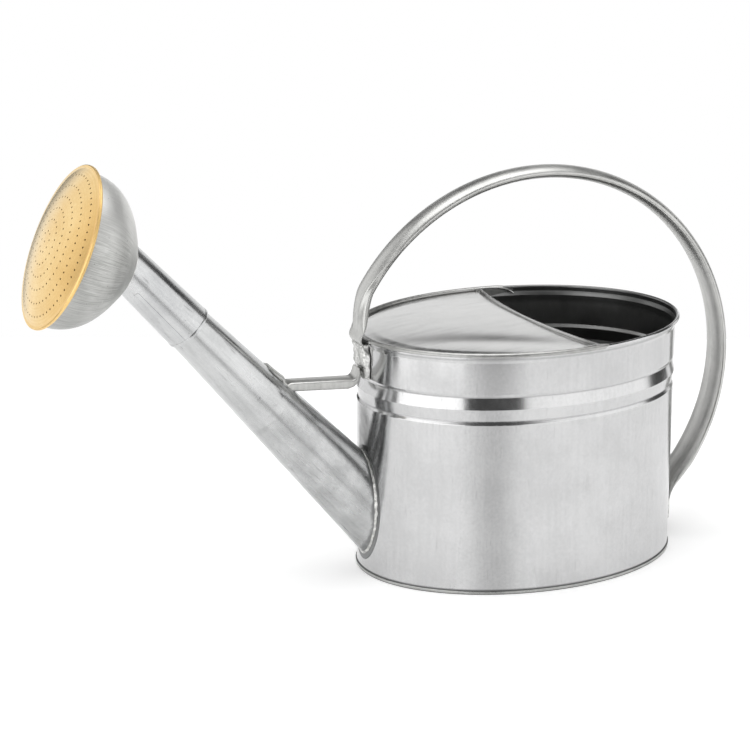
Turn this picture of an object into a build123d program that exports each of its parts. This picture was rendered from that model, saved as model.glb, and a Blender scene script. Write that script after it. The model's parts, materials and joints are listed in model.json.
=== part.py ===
"""Galvanised watering can: an oval wired-rim body, a half cover, a tapered spout with its brace,
a hooped tubular handle, and a push-fit rose with a domed brass face.

Frame: origin at the centre of the base on the ground, +Z up, +X towards the back of the can,
so the spout points towards -X.  Millimetres.
"""
from build123d import *
from math import cos, radians, sin, sqrt
import os

os.makedirs("parts", exist_ok=True)

# ---------------------------------------------------------------- driving dimensions
SHEET = 0.6                 # galvanised sheet thickness
GAP = 0.05                  # clearance left between sheets that are folded together

BODY_A = 140.0              # outer half length of the oval body
BODY_B = 101.4              # outer half width of the oval body
RIM_Z = 204.9               # height of the rim wire's centre
RIM_OUT = 2.05              # the rim wire's centre stands this far outside the wall
WIRE_R = 0.95               # rim wire radius
CURL_IN = WIRE_R + GAP      # inside radius of the sheet rolled round the wire
CURL_OUT = CURL_IN + SHEET
CURL_TURN = 240.0           # the sheet is rolled this many degrees round the wire
FLARE_Z = 198.0             # the wall starts to flare out to the rim here
FLARE_H = 3.6               # height of the flare
WALL_BEND_R = 1.2           # bends of the bead and the flare

BEAD_Z = 158.8              # crest of the stiffening bead round the wall
BEAD_HALF = 10.2            # crest to the groove on either side
BEAD_OUT = 0.7              # the crest stands out this far
GROOVE_IN = 1.4             # each groove is pressed in this far
GROOVE_SLOPE = 2.6          # height of the groove's outer flank

SEAM_OUT = 0.8              # the base seam stands out this far
SEAM_H = 3.2                # and is this high
BASE_Z = 6.0                # underside of the recessed base sheet

COVER_Z = 203.8             # underside of the half cover
COVER_INSET = 2.0           # edge of the flat sheet, inside the wall
EDGE_X = 7.5                # the cover's free edge crosses the centre line here
EDGE_R = 280.0              # radius of the free edge, centred behind the can
EDGE_H = 4.6                # height of the turned-up free edge
EDGE_HEM = 2.2              # height of the hem along its top
HORN_X = 34.0               # the cover's grip on the rim runs back to here
HOOK_END = -20.0            # the grip ends this many degrees below the wire's centre

SPOUT_ANGLE = 47.69         # spout axis above the horizontal, degrees
SPOUT_Z = 63.8              # the spout axis meets the front of the wall at this height
SPOUT_R = 30.2              # spout radius there, in the plane of symmetry
SPOUT_W = 22.4              # spout half width there: its foot is pressed to an oval
SPOUT_TAPER = 0.0508        # radius lost per millimetre of length
SEAM_S = 136.0              # seam between the two spout cones, along the axis
SEAM_STEP = 0.15            # the upper cone is this much smaller than the lower one there
TIP_S = 258.0               # open tip of the spout, inside the rose's socket
FOOT_END_S = -46.0          # the lower cone is drawn from here, inside the body
ROUND_S = 124.0             # the lower cone is round beyond here
LAP = 9.0                   # how far the upper cone's end sits inside the lower one
COLLAR_W = 3.2              # flange round the spout's foot
COLLAR_TOP = 130.0          # the flange and its solder lie below this height
FRONT_X = -80.0             # and in front of here

HOOP_X = 16.1               # centre of the handle's oval hoop
HOOP_Z = 158.0
HOOP_A = 177.2              # half length of the hoop's centre line
HOOP_B = 172.5              # and its half height
HOOP_FRONT = 150.0          # the full tube runs from this angle ...
HOOP_REAR = -34.0           # ... over the top to this one
HOOP_STEPS = 14             # sections along the hoop
WIDEN_FROM = 60.0           # the tube grows wider from this angle to the rear
TUBE_SHEET = 0.8            # sheet of the handle and the brace
TUBE_W_TOP = 22.5           # width and thickness of the handle tube over the can
TUBE_T_TOP = 10.5
TUBE_W_REAR = 30.0          # and at its rear end
TUBE_T_REAR = 12.5
STRAP_W = 26.0              # the tube is pressed flat where it crosses the rim
STRAP_T = 1.6
STRAP_LOW_W = 21.0          # and trimmed narrower below the rim
STRAP_X = -145.3            # centre of the flat strap outside the rim
STRAP_LOW_X = -142.7        # centre of the strap against the wall below the rim
STRAP_TOP_Z = 215.0
STRAP_BEND_Z = (203.0, 196.0)   # it steps in to the wall between these heights
STRAP_BEND_R = 6.0
STRAP_END_Z = 172.0
TRIM_TOP_Z = 201.0          # the trimmed part ends here

# the hoop's rear end is pressed against the wall: (x, z), direction, width, thickness
TAIL = [
    ((154.6, 47.5), (-0.62, 0, -0.78), 30.5, 12.0),
    ((147.6, 36.0), (-0.42, 0, -0.91), 31.0, 9.2),
    ((144.2, 24.5), (-0.08, 0, -1.0), 31.0, 7.0),
    ((143.6, 13.0), (0, 0, -1), 30.5, 6.2),
]
# the hoop's front end is pressed flat above the rim, outside and inside
PRESS_OUTSIDE = [
    ((-141.6, 232.0), (-0.30, 0, -0.95), 24.5, 8.6),
    ((-144.6, 219.0), (-0.12, 0, -0.99), STRAP_W, 2.6),
    ((STRAP_X, 212.0), (0, 0, -1), STRAP_W, STRAP_T + 0.2),
]
PRESS_INSIDE = [
    ((-141.2, 233.0), (-0.30, 0, -0.95), 24.4, 8.8),
    ((-144.0, 222.0), (-0.14, 0, -0.99), STRAP_W - 0.5, 3.6),
]

BRACE_W = 14.0              # oval tube between the spout and the front of the body
BRACE_T = 9.4
BRACE_START = (-214.0, 173.7)   # (x, z) inside the spout
BRACE_END = (-153.0, 169.6)     # where the tube starts to flatten
# the brace's end turns up the wall and flattens over the strap
ELBOW = [
    ((-148.4, 170.9), (0.86, 0, 0.5), 15.0, 6.8),
    ((-145.6, 175.2), (0.38, 0, 0.92), 17.0, 3.2),
    ((-144.6, 181.0), (0, 0, 1), 18.0, STRAP_T),
]
FOOT_S = 136.0              # middle of the brace's foot on the spout
FOOT_L = 31.0
SADDLE_S = (90.0, 190.0)    # the foot lies between these stations of the spout
SADDLE_H = 40.0

ROSE_S = 222.5              # mouth of the rose's socket, along the spout axis
HEM_L = 2.6                 # length of the turned hem at the socket's mouth
HEM_CLEARANCE = 0.1         # the hem's bore clears the spout by this much all round
HEM_OUT = 0.45              # the hem stands out from the socket
SOCKET_R = 20.1             # outer radius of the socket at its mouth
SOCKET_TAPER = 0.030
SOCKET_END_S = 315.0        # the socket is drawn to here, inside the bowl
FACE_X = -391.4             # centre of the rose's rim
FACE_Z = 303.8
FACE_TILT = 24.0            # the rose faces this far above the horizontal, degrees
FACE_R = 67.1               # outer radius of the brass rim
FACE_T = 0.8
FACE_ROLL = 0.7             # corners of the brass rim
BOWL_FLANGE = 1.2           # the bowl's flange ends this far inside the brass rim
DOME_R = 64.1               # radius of the domed part
DOME_H = 12.9               # and its height
BOWL_R = 62.9               # the bowl behind the face
BOWL_DEPTH = 64.0
BOWL_POWER = 2.73           # fullness of the bowl's curve
BOWL_STEPS = [0, 0.14, 0.3, 0.46, 0.62, 0.76, 0.88, 0.96]
BOWL_TANGENTS = [(0, -1), (-1, -0.02)]
HOLE_R = 0.75
HOLE_RINGS = [(8.6, 9), (18.3, 20), (28.1, 30), (37.9, 40), (47.9, 50), (57.7, 60)]

SOLDER = 1.5                # size of a run of solder
SEAM_SOLDER = 0.25          # the seam's solder stands out this far
FOOT_SOLDER = 1.2           # solder shows this wide round the brace's foot
STRAP_SOLDER_L = 20.0       # solder down both edges of the strap
STRAP_SOLDER_T = 4.0
TAIL_SOLDER_Z = 14.0        # solder behind the handle's rear end
TAIL_SOLDER_H = 17.0
TAIL_SOLDER_W = 32.0
TAIL_SOLDER_T = 6.4

# ---------------------------------------------------------------- shared geometry
across_spout = (sin(radians(SPOUT_ANGLE)), 0, cos(radians(SPOUT_ANGLE)))
spout_dir = Vector(-cos(radians(SPOUT_ANGLE)), 0, sin(radians(SPOUT_ANGLE)))
spout_root = Vector(-BODY_A, 0, SPOUT_Z)
spout_axis = Axis(spout_root, spout_dir)
face_dir = Vector(-cos(radians(FACE_TILT)), 0, sin(radians(FACE_TILT)))
face_centre = Vector(FACE_X, 0, FACE_Z)
face_axis = Axis(face_centre, face_dir)

# A revolve about the spout is drawn in this plane: local x is the radius, local y is the distance s.
spout_section = Plane(spout_root, x_dir=across_spout, z_dir=(0, -1, 0))
# The same for the rose: local x is the radius, local y is the height in front of the rim.
rose_section = Plane(face_centre, x_dir=(sin(radians(FACE_TILT)), 0, cos(radians(FACE_TILT))),
                     z_dir=(0, -1, 0))

oval = Edge.make_ellipse(BODY_A, BODY_B)


def spout_plane(s):
    """The plane across the spout at distance s along its axis; local y is the can's width."""
    return Plane(spout_root + spout_dir * s, x_dir=across_spout, z_dir=spout_dir)


def spout_radius(s):
    return SPOUT_R - SPOUT_TAPER * s


def socket_radius(s):
    return SOCKET_R - SOCKET_TAPER * (s - ROSE_S)


def wall_x(offset):
    """Local x of a point this far outside the wall, in the section plane at the back of the can."""
    return BODY_A + offset


def dome_point(share, base):
    """A point of the rose's dome at this share of its radius, above the given base height."""
    sphere = (DOME_R ** 2 + DOME_H ** 2) / (2 * DOME_H)
    return (share * DOME_R, base + sqrt(sphere ** 2 - (share * DOME_R) ** 2) - sphere + DOME_H)


def bowl_points(radius, depth, steps):
    return [(radius * (1 - t ** BOWL_POWER), -depth * t) for t in steps]


def oval_prism(offset, low, high):
    """A solid with the body's outline, grown by an offset, between two heights."""
    with BuildPart(mode=Mode.PRIVATE) as solid:
        with BuildSketch(Plane.XY.offset(low)):
            Ellipse(BODY_A + offset, BODY_B + offset)
        extrude(amount=high - low)
    return solid.part


def oval_ring(inner, outer, low, high):
    """A band round the wall between two offsets and two heights."""
    return oval_prism(outer, low, high) - oval_prism(inner, low, high)


def spout_face(s, inset):
    """Section of the lower cone: oval at the wall, round before the seam."""
    share = (ROUND_S - s) / ROUND_S
    half_width = spout_radius(s) - (SPOUT_R - SPOUT_W) * max(share, 0)
    with BuildSketch(spout_plane(s)) as section:
        Ellipse(spout_radius(s) - inset, half_width - inset)
    return section.sketch


def spout_solid(inset):
    """The lower cone as a full solid, its surface drawn in by inset."""
    with BuildPart(mode=Mode.PRIVATE) as solid:
        loft([spout_face(FOOT_END_S, inset), spout_face(ROUND_S, inset)])
        loft([spout_face(ROUND_S, inset), spout_face(SEAM_S, inset)])
    return solid.part


def cone_solid(radius_at_start, taper, start, end):
    """A full cone on the spout axis between two distances along it."""
    with BuildPart(mode=Mode.PRIVATE) as solid:
        with BuildSketch(spout_section):
            with BuildLine():
                Polyline(
                    (0, start),
                    (radius_at_start, start),
                    (radius_at_start - taper * (end - start), end),
                    (0, end),
                    close=True,
                )
            make_face()
        revolve(axis=spout_axis)
    return solid.part


def spout_saddle(inner, outer, length, width):
    """A rounded patch of sheet on top of the spout, between two offsets from its surface."""
    start, end = SADDLE_S
    with BuildPart(mode=Mode.PRIVATE) as patch:
        with BuildSketch(Plane(spout_root + spout_dir * FOOT_S, x_dir=spout_dir, z_dir=across_spout)):
            SlotOverall(length, width)
        extrude(amount=SADDLE_H)
        add(cone_solid(spout_radius(start) + outer, SPOUT_TAPER, start, end), mode=Mode.INTERSECT)
        add(cone_solid(spout_radius(start) + inner, SPOUT_TAPER, start, end), mode=Mode.SUBTRACT)
    return patch.part


def bowl_solid(grow):
    """The bowl's outer shape as a full solid, grown by this much."""
    with BuildPart(mode=Mode.PRIVATE) as solid:
        with BuildSketch(rose_section):
            with BuildLine():
                outline = [(r + grow, h) for r, h in bowl_points(BOWL_R, BOWL_DEPTH, BOWL_STEPS)]
                curve = Spline(*outline, (0, -BOWL_DEPTH - grow), tangents=BOWL_TANGENTS)
                Polyline(curve @ 1, (0, 0), curve @ 0)
            make_face()
        revolve(axis=face_axis)
    return solid.part


def tube_section(centre, tangent, width, thickness, shrink=0.0):
    """Oval section of a flattened tube, across the given direction."""
    with BuildSketch(Plane((centre[0], 0, centre[1]), x_dir=(0, 1, 0), z_dir=tangent)) as section:
        Ellipse(width / 2 - shrink, thickness / 2 - shrink)
    return section.sketch


def hoop_section(angle, shrink=0.0):
    """Oval section of the handle tube at this angle round the hoop."""
    share = min(max((WIDEN_FROM - angle) / (WIDEN_FROM - HOOP_REAR), 0.0), 1.0)
    width = TUBE_W_TOP + (TUBE_W_REAR - TUBE_W_TOP) * share
    thickness = TUBE_T_TOP + (TUBE_T_REAR - TUBE_T_TOP) * share
    x = HOOP_X + HOOP_A * cos(radians(angle))
    z = HOOP_Z + HOOP_B * sin(radians(angle))
    tangent = (HOOP_A * sin(radians(angle)), 0, -HOOP_B * cos(radians(angle)))
    return tube_section((x, z), tangent, width, thickness, shrink)


def tube(sections):
    with BuildPart(mode=Mode.PRIVATE) as solid:
        loft(sections)
    return solid.part


spout_bore = spout_solid(SHEET)
body_core = oval_prism(GAP, 0, FLARE_Z)

# ---------------------------------------------------------------- body
with BuildPart() as body_wall:
    with BuildSketch(Plane.XZ):
        with BuildLine():
            outer = [
                (wall_x(0), SHEET + GAP),
                (wall_x(0), BEAD_Z - BEAD_HALF - GROOVE_SLOPE),
                (wall_x(-GROOVE_IN), BEAD_Z - BEAD_HALF),
                (wall_x(BEAD_OUT), BEAD_Z),
                (wall_x(-GROOVE_IN), BEAD_Z + BEAD_HALF),
                (wall_x(0), BEAD_Z + BEAD_HALF + GROOVE_SLOPE),
                (wall_x(0), FLARE_Z),
                (wall_x(RIM_OUT - CURL_IN), FLARE_Z + FLARE_H),
                (wall_x(RIM_OUT - CURL_IN), RIM_Z),
            ]
            inner = [(x - SHEET, z) for x, z in outer]
            FilletPolyline(*outer, radius=WALL_BEND_R)
            FilletPolyline(*inner, radius=WALL_BEND_R)
            Line(outer[0], inner[0])
            rim_centre = (wall_x(RIM_OUT), RIM_Z)
            inside_curl = CenterArc(rim_centre, CURL_IN, 180, -CURL_TURN)
            outside_curl = CenterArc(rim_centre, CURL_OUT, 180, -CURL_TURN)
            Line(inside_curl @ 1, outside_curl @ 1)
        make_face()
    sweep(path=oval, is_frenet=True)
    add(spout_bore, mode=Mode.SUBTRACT)
body_wall.part.label = "body_wall"
export_step(body_wall.part, "parts/body_wall.step")

with BuildPart() as rim_wire:
    with BuildSketch(Plane.XZ):
        with Locations(rim_centre):
            Circle(WIRE_R)
    sweep(path=oval, is_frenet=True)
rim_wire.part.label = "rim_wire"
export_step(rim_wire.part, "parts/rim_wire.step")

# the base sheet's edge is folded under the wall and up its outside
fold_inner = -2 * SHEET - GAP
with BuildPart() as base_sheet:
    add(oval_ring(fold_inner, SEAM_OUT, 0, SHEET))
    add(oval_ring(GAP, SEAM_OUT, SHEET, SEAM_H))
    add(oval_ring(fold_inner, -SHEET - GAP, SHEET, BASE_Z))
    add(oval_prism(-SHEET - GAP, BASE_Z, BASE_Z + SHEET))
base_sheet.part.label = "base_sheet"
export_step(base_sheet.part, "parts/base_sheet.step")

# ---------------------------------------------------------------- half cover
edge_centre = (EDGE_X + EDGE_R, 0)
grip_in = CURL_OUT + GAP
grip_out = grip_in + SHEET
with BuildPart() as cover:
    # the grip round the front of the rim
    with BuildSketch(Plane.XZ):
        with BuildLine():
            under = CenterArc(rim_centre, grip_in, 180, HOOK_END - 180)
            over = CenterArc(rim_centre, grip_out, 180, HOOK_END - 180)
            Line(under @ 1, over @ 1)
            Polyline(
                under @ 0,
                (wall_x(RIM_OUT - grip_in), COVER_Z),
                (wall_x(-COVER_INSET - 2 * SHEET / 3), COVER_Z),
                (wall_x(-COVER_INSET - 2 * SHEET / 3), COVER_Z + SHEET),
                (wall_x(RIM_OUT - grip_out), COVER_Z + SHEET),
                over @ 0,
            )
        make_face()
    sweep(path=oval, is_frenet=True)
    split(bisect_by=Plane.YZ.offset(HORN_X), keep=Keep.BOTTOM)
    # behind the free edge only the part that clasps the rim is left
    with BuildSketch(Plane.XY.offset(COVER_Z - 1)):
        with Locations(edge_centre):
            Circle(EDGE_R)
        Ellipse(BODY_A - 4 * GAP, BODY_B - 4 * GAP, mode=Mode.INTERSECT)
    extrude(amount=2 * SHEET + 1, mode=Mode.SUBTRACT)
    # the flat sheet
    with BuildSketch(Plane.XY.offset(COVER_Z)):
        Ellipse(BODY_A - COVER_INSET, BODY_B - COVER_INSET)
        with Locations(edge_centre):
            Circle(EDGE_R, mode=Mode.SUBTRACT)
    extrude(amount=SHEET)
    # the turned-up edge and its hem
    hem_z = COVER_Z + EDGE_H - EDGE_HEM
    for thickness, low, high in ((SHEET, COVER_Z, EDGE_H), (2 * SHEET, hem_z, EDGE_HEM)):
        with BuildSketch(Plane.XY.offset(low)):
            with Locations(edge_centre):
                Circle(EDGE_R + thickness)
                Circle(EDGE_R, mode=Mode.SUBTRACT)
            Ellipse(BODY_A - SHEET / 2, BODY_B - SHEET / 2, mode=Mode.INTERSECT)
        extrude(amount=high)
cover.part.label = "cover"
export_step(cover.part, "parts/cover.step")

# ---------------------------------------------------------------- spout
with BuildPart() as spout_lower:
    add(spout_solid(0))
    add(spout_bore, mode=Mode.SUBTRACT)
    add(oval_prism(GAP, -SPOUT_Z, FLARE_Z), mode=Mode.SUBTRACT)
spout_lower.part.label = "spout_lower"
export_step(spout_lower.part, "parts/spout_lower.step")

with BuildPart() as spout_upper:
    with BuildSketch(spout_section):
        with BuildLine():
            inset = SHEET + GAP
            lap_s = SEAM_S - LAP
            step_s = SEAM_S + 0.5
            Polyline(
                (spout_radius(lap_s) - inset, lap_s),
                (spout_radius(SEAM_S) - inset, SEAM_S),
                (spout_radius(SEAM_S) - inset, SEAM_S + GAP),
                (spout_radius(SEAM_S) - SEAM_STEP, step_s),
                (spout_radius(TIP_S), TIP_S),
                (spout_radius(TIP_S) - SHEET, TIP_S),
                (spout_radius(SEAM_S) - SEAM_STEP - SHEET, step_s),
                (spout_radius(SEAM_S) - inset - SHEET, SEAM_S - SHEET / 3),
                (spout_radius(lap_s) - inset - SHEET, lap_s),
                close=True,
            )
        make_face()
    revolve(axis=spout_axis)
spout_upper.part.label = "spout_upper"
export_step(spout_upper.part, "parts/spout_upper.step")

with BuildPart() as spout_collar:
    add(oval_ring(GAP, GAP + SHEET, 0, COLLAR_TOP))
    split(bisect_by=Plane.YZ.offset(FRONT_X), keep=Keep.BOTTOM)
    add(spout_solid(-COLLAR_W), mode=Mode.INTERSECT)
    add(spout_solid(-GAP), mode=Mode.SUBTRACT)
spout_collar.part.label = "spout_collar"
export_step(spout_collar.part, "parts/spout_collar.step")

with BuildPart() as spout_solder:
    add(oval_ring(2 * GAP + SHEET, SHEET + SOLDER, 0, COLLAR_TOP))
    split(bisect_by=Plane.YZ.offset(FRONT_X), keep=Keep.BOTTOM)
    add(spout_solid(-SOLDER), mode=Mode.INTERSECT)
    add(spout_solid(-GAP), mode=Mode.SUBTRACT)
spout_solder.part.label = "spout_solder"
export_step(spout_solder.part, "parts/spout_solder.step")

# the ring of solder round the spout's seam stops at the brace's foot
with BuildPart() as spout_seam_solder:
    with BuildSketch(spout_section):
        with BuildLine():
            outside = spout_radius(SEAM_S) + SEAM_SOLDER
            Polyline(
                (spout_radius(SEAM_S + 0.6) + 0.02, SEAM_S + GAP),
                (outside, SEAM_S + GAP),
                (outside, step_s),
                (spout_radius(SEAM_S + 1.8) + 0.02, SEAM_S + 1.8),
                close=True,
            )
        make_face()
    revolve(axis=spout_axis)
    add(spout_saddle(-1, 3, FOOT_L + 3, BRACE_W + 3), mode=Mode.SUBTRACT)
spout_seam_solder.part.label = "spout_seam_solder"
export_step(spout_seam_solder.part, "parts/spout_seam_solder.step")

# ---------------------------------------------------------------- rose
socket_start = ROSE_S + HEM_L + GAP
socket_mouth_r = socket_radius(socket_start)
socket_outside = cone_solid(socket_mouth_r, SOCKET_TAPER, socket_start, SOCKET_END_S)
socket_bore = cone_solid(socket_mouth_r - SHEET, SOCKET_TAPER, socket_start, SOCKET_END_S)
bowl_outside = bowl_solid(0)

with BuildPart() as rose_bowl:
    with BuildSketch(rose_section):
        with BuildLine():
            outline = bowl_points(BOWL_R, BOWL_DEPTH, BOWL_STEPS)
            lining = bowl_points(BOWL_R - SHEET, BOWL_DEPTH - SHEET, BOWL_STEPS[1:])
            flange_r = FACE_R - BOWL_FLANGE
            outside = Spline(*outline, (0, -BOWL_DEPTH), tangents=BOWL_TANGENTS)
            Polyline((BOWL_R, 0), (flange_r, 0), (flange_r, SHEET), (BOWL_R - SHEET, SHEET))
            inside = Spline((BOWL_R - SHEET, SHEET), *lining, (0, SHEET - BOWL_DEPTH), tangents=BOWL_TANGENTS)
            Line(outside @ 1, inside @ 1)
        make_face()
    revolve(axis=face_axis)
    add(socket_bore, mode=Mode.SUBTRACT)
rose_bowl.part.label = "rose_bowl"
export_step(rose_bowl.part, "parts/rose_bowl.step")

with BuildPart() as rose_socket:
    add(socket_outside)
    add(socket_bore, mode=Mode.SUBTRACT)
    add(bowl_outside, mode=Mode.SUBTRACT)
rose_socket.part.label = "rose_socket"
export_step(rose_socket.part, "parts/rose_socket.step")

with BuildPart() as rose_solder:
    add(cone_solid(socket_mouth_r + SOLDER, SOCKET_TAPER, socket_start, SOCKET_END_S))
    add(bowl_solid(SOLDER), mode=Mode.INTERSECT)
    add(socket_outside, mode=Mode.SUBTRACT)
    add(bowl_outside, mode=Mode.SUBTRACT)
rose_solder.part.label = "rose_solder"
export_step(rose_solder.part, "parts/rose_solder.step")

with BuildPart() as rose_socket_hem:
    with BuildSketch(spout_section):
        with BuildLine():
            mouth = spout_radius(ROSE_S) + HEM_CLEARANCE
            hem_r = socket_radius(ROSE_S) + HEM_OUT
            Polyline(
                (mouth, ROSE_S),
                (hem_r, ROSE_S),
                (hem_r, ROSE_S + HEM_L),
                (mouth, ROSE_S + HEM_L),
                close=True,
            )
        make_face()
    revolve(axis=spout_axis)
rose_socket_hem.part.label = "rose_socket_hem"
export_step(rose_socket_hem.part, "parts/rose_socket_hem.step")

with BuildPart() as rose_face:
    with BuildSketch(rose_section):
        with BuildLine():
            seat = SHEET + GAP
            top = seat + FACE_T
            flange_edge = FACE_R - BOWL_FLANGE + GAP
            crown = ThreePointArc((0, top + DOME_H), dome_point(0.5, top), (DOME_R, top))
            Polyline(
                crown @ 1,
                (FACE_R - FACE_ROLL, top),
                (FACE_R, top - FACE_ROLL),
                (FACE_R, FACE_ROLL - FACE_T - GAP),
                (FACE_R - FACE_ROLL, -FACE_T),
                (BOWL_R + 1, -FACE_T),
                (BOWL_R + 1, -GAP),
                (flange_edge, -GAP),
                (flange_edge, seat),
                (DOME_R, seat),
            )
            under_crown = ThreePointArc((DOME_R, seat), dome_point(0.5, seat), (0, seat + DOME_H))
            Line(under_crown @ 1, crown @ 0)
        make_face()
    revolve(axis=face_axis)
    with BuildSketch(Plane(face_centre, x_dir=(0, 1, 0), z_dir=face_dir)):
        for ring_radius, count in HOLE_RINGS:
            with PolarLocations(ring_radius, count):
                Circle(HOLE_R)
        Circle(HOLE_R)
    extrude(amount=2 * DOME_H, mode=Mode.SUBTRACT)
rose_face.part.label = "rose_face"
export_step(rose_face.part, "parts/rose_face.step")

# ---------------------------------------------------------------- handle
hoop_angles = [HOOP_FRONT + (HOOP_REAR - HOOP_FRONT) * step / HOOP_STEPS for step in range(HOOP_STEPS + 1)]
hoop_outside = tube([hoop_section(angle) for angle in hoop_angles] + [tube_section(*stop) for stop in TAIL])
hoop_inside = tube([hoop_section(angle, TUBE_SHEET) for angle in hoop_angles]
                   + [tube_section(*stop, TUBE_SHEET) for stop in TAIL])
press_outside = tube([hoop_section(HOOP_FRONT)] + [tube_section(*stop) for stop in PRESS_OUTSIDE])
press_inside = tube([hoop_section(HOOP_FRONT, TUBE_SHEET)]
                    + [tube_section(*stop, TUBE_SHEET) for stop in PRESS_INSIDE])

with BuildPart() as handle:
    add(hoop_outside)
    add(press_outside)
    add(hoop_inside, mode=Mode.SUBTRACT)
    add(press_inside, mode=Mode.SUBTRACT)
    # the flat strap over the rim and down the wall
    with BuildSketch(Plane.XZ):
        with BuildLine():
            FilletPolyline(
                (STRAP_X, STRAP_TOP_Z),
                (STRAP_X, STRAP_BEND_Z[0]),
                (STRAP_LOW_X, STRAP_BEND_Z[1]),
                (STRAP_LOW_X, STRAP_END_Z),
                radius=STRAP_BEND_R,
            )
        trace(line_width=STRAP_T)
    extrude(amount=STRAP_W / 2, both=True)
    # it is trimmed narrower below the rim
    trim = (STRAP_W - STRAP_LOW_W) / 2 + 1
    with BuildSketch(Plane.XY.offset(STRAP_END_Z - 1)):
        for side in (-1, 1):
            with Locations((STRAP_LOW_X, side * (STRAP_LOW_W + trim) / 2)):
                Rectangle(2 * STRAP_BEND_R, trim)
    extrude(amount=TRIM_TOP_Z - STRAP_END_Z + 1, mode=Mode.SUBTRACT)
handle.part.label = "handle"
export_step(handle.part, "parts/handle.step")

# solder runs down both edges of the strap, against the wall
with BuildPart() as handle_front_solder:
    with BuildSketch(Plane.XY.offset(STRAP_END_Z + 2)):
        for side in (-1, 1):
            with Locations((STRAP_LOW_X + STRAP_T, side * (STRAP_LOW_W / 2 + GAP + SOLDER / 2))):
                Rectangle(STRAP_SOLDER_T, SOLDER)
    extrude(amount=STRAP_SOLDER_L)
    add(body_core, mode=Mode.SUBTRACT)
handle_front_solder.part.label = "handle_front_solder"
export_step(handle_front_solder.part, "parts/handle_front_solder.step")

# solder fills the wedge between the flattened tail and the curved wall
with BuildPart() as handle_rear_solder:
    with BuildSketch(Plane.XY.offset(TAIL_SOLDER_Z)):
        with Locations((BODY_A, 0)):
            Rectangle(TAIL_SOLDER_T, TAIL_SOLDER_W)
    extrude(amount=TAIL_SOLDER_H)
    add(body_core, mode=Mode.SUBTRACT)
    add(hoop_outside, mode=Mode.SUBTRACT)
handle_rear_solder.part.label = "handle_rear_solder"
export_step(handle_rear_solder.part, "parts/handle_rear_solder.step")

# ---------------------------------------------------------------- brace
brace_dir = (BRACE_END[0] - BRACE_START[0], 0, BRACE_END[1] - BRACE_START[1])
brace_stops = [(BRACE_START, brace_dir, BRACE_W, BRACE_T), (BRACE_END, brace_dir, BRACE_W, BRACE_T)]
elbow_stops = [brace_stops[1]] + ELBOW
brace_outside = tube([tube_section(*stop) for stop in brace_stops]) + tube(
    [tube_section(*stop) for stop in elbow_stops])
brace_inside = tube([tube_section(*stop, TUBE_SHEET) for stop in brace_stops]) + tube(
    [tube_section(*stop, TUBE_SHEET) for stop in elbow_stops[:2]])

with BuildPart() as brace:
    add(brace_outside)
    add(brace_inside, mode=Mode.SUBTRACT)
    add(cone_solid(spout_radius(SADDLE_S[0]) + GAP, SPOUT_TAPER, *SADDLE_S), mode=Mode.SUBTRACT)
    add(spout_saddle(GAP, GAP + STRAP_T, FOOT_L, BRACE_W))
brace.part.label = "brace"
export_step(brace.part, "parts/brace.step")

with BuildPart() as brace_solder:
    add(spout_saddle(GAP, GAP + SHEET, FOOT_L + 2 * FOOT_SOLDER, BRACE_W + 2 * FOOT_SOLDER))
    add(spout_saddle(GAP - 1, GAP + 3, FOOT_L + 2 * GAP, BRACE_W + 2 * GAP), mode=Mode.SUBTRACT)
    add(brace_outside, mode=Mode.SUBTRACT)
brace_solder.part.label = "brace_solder"
export_step(brace_solder.part, "parts/brace_solder.step")
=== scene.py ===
"""Looks for a galvanised oval watering can with a brass-faced rose, built round the CAD frame.

+Z is up and the spout points towards -X.  Lengths are metres, except where a comment says mm or the
points are multiplied by MM.
"""

import json
import math

import bmesh
import bpy
from mathutils import Matrix, Vector, noise


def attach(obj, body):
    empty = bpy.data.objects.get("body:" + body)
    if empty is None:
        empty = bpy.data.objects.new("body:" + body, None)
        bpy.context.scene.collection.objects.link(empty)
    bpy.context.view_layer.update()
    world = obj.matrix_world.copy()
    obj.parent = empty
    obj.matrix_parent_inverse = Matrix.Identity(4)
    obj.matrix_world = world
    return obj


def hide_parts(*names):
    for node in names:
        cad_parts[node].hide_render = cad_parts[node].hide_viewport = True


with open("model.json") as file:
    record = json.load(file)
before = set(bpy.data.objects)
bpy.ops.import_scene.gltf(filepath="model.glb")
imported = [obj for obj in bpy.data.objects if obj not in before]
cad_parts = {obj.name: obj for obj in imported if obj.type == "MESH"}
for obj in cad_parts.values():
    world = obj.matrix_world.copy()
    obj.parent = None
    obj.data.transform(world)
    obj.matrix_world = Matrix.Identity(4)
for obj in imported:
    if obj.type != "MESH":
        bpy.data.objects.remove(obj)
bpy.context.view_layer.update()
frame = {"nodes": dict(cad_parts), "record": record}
NODES = frame["nodes"]
MM = 0.001

# ---------------------------------------------------------------- camera
CAMERA_AT = (-0.8878, -1.8335, 0.7688)
CAMERA_RIGHT = (0.92422, -0.38186, 0.00142)
CAMERA_UP = (0.10889, 0.26711, 0.95749)
CAMERA_BACK = (-0.36601, -0.88478, 0.28845)
LENS_MM, SENSOR_MM = 120.55, 36.0
CLIP_NEAR, CLIP_FAR = 0.05, 60.0


def link(obj):
    bpy.context.scene.collection.objects.link(obj)
    return obj


camera_data = bpy.data.cameras.new("camera")
camera_data.lens = LENS_MM
camera_data.sensor_width = SENSOR_MM
camera_data.clip_start, camera_data.clip_end = CLIP_NEAR, CLIP_FAR
camera = link(bpy.data.objects.new("camera", camera_data))
camera.matrix_world = Matrix([
    [CAMERA_RIGHT[i], CAMERA_UP[i], CAMERA_BACK[i], CAMERA_AT[i]] for i in range(3)
] + [[0, 0, 0, 1]])
bpy.context.scene.camera = camera
bpy.context.scene.view_settings.view_transform = "Standard"


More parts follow.
